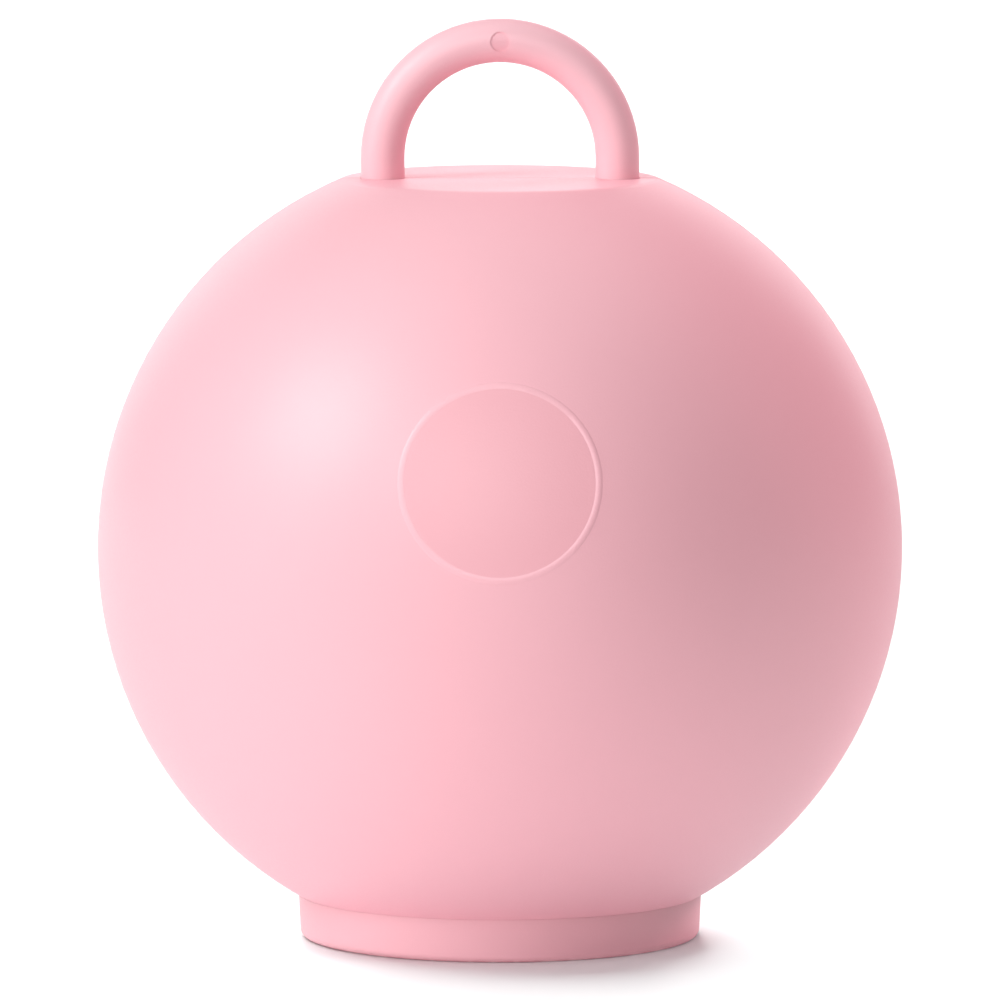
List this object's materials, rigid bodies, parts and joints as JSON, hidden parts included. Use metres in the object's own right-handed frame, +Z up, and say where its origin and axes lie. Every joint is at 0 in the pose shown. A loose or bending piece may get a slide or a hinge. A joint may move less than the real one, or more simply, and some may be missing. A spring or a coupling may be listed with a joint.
{
  "type": "balloon weight",
  "caption": "Round balloon weight shaped like a kettlebell: a hollow, sand-filled ball of half shells, with a rod handle for ribbons on its flat top and a push-in base cap.",
  "frame": {"origin": "centre of the face that the foot stands on", "axes": "+Z up through the handle, -Y out of the front with the round mark, X along the width of the handle"},
  "size_m": [0.055, 0.055, 0.063],
  "materials": {
    "shell_plastic": "satin moulded",
    "handle_plastic": "satin moulded",
    "cap_plastic": "satin moulded",
    "sand": "dry sand"
  },
  "bodies": {
    "base": {"base_cap": "cap_plastic"},
    "weight": {"front_shell": "shell_plastic", "rear_shell": "shell_plastic", "handle": "handle_plastic", "sand_fill": "sand"}
  },
  "joints": [
    {"name": "base_cap_pull", "type": "slide", "parent": "base", "child": "weight", "axis": [0, 0, 1], "range_m": [0, 0.012]}
  ]
}
